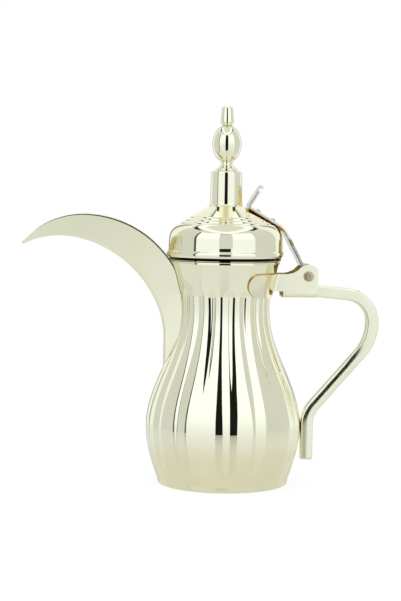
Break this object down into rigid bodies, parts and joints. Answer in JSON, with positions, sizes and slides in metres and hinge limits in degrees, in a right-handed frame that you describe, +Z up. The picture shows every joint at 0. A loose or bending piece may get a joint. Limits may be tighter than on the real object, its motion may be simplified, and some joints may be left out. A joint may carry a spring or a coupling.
{
  "type": "dallah coffee pot",
  "caption": "Fluted metal coffee pot with a crescent spout, a bent loop handle and a hinged domed lid with a finial and thumb tab.",
  "frame": {"origin": "on the standing plane, under the pot's axis, at the centre of the flat base", "axes": "+Z up along the pot's axis, -X towards the spout's tip, +X towards the handle, Y across the pot along the hinge pin"},
  "size_m": [0.2482, 0.1072, 0.261],
  "materials": {
    "polished_gold": "mirror-polished pale gold plating",
    "gold_fittings": "polished pale gold plating with fine scratches",
    "inner_steel": "plain bright steel"
  },
  "bodies": {
    "pot": {"vessel_body": "polished_gold", "vessel_base": "polished_gold", "mouth_ring": "polished_gold", "spout_shell": "polished_gold", "spout_strainer": "inner_steel", "hinge_bracket": "gold_fittings", "hinge_pin": "gold_fittings", "handle_tube": "polished_gold", "handle_tenon": "gold_fittings", "handle_end_plug": "polished_gold"},
    "lid": {"lid_shell": "polished_gold", "lid_skirt": "polished_gold", "lid_strap": "gold_fittings", "strap_rivets": "gold_fittings", "rivet_burrs": "inner_steel", "finial_collar": "polished_gold", "finial_ball": "polished_gold", "finial_cap": "polished_gold", "finial_stud": "inner_steel", "finial_washer": "inner_steel", "finial_nut": "inner_steel"}
  },
  "joints": [
    {"name": "lid_hinge", "type": "hinge", "parent": "pot", "child": "lid", "pos_m": [0.0569, 0, 0.145], "axis": [0, 1, 0], "range_deg": [0, 100]}
  ]
}
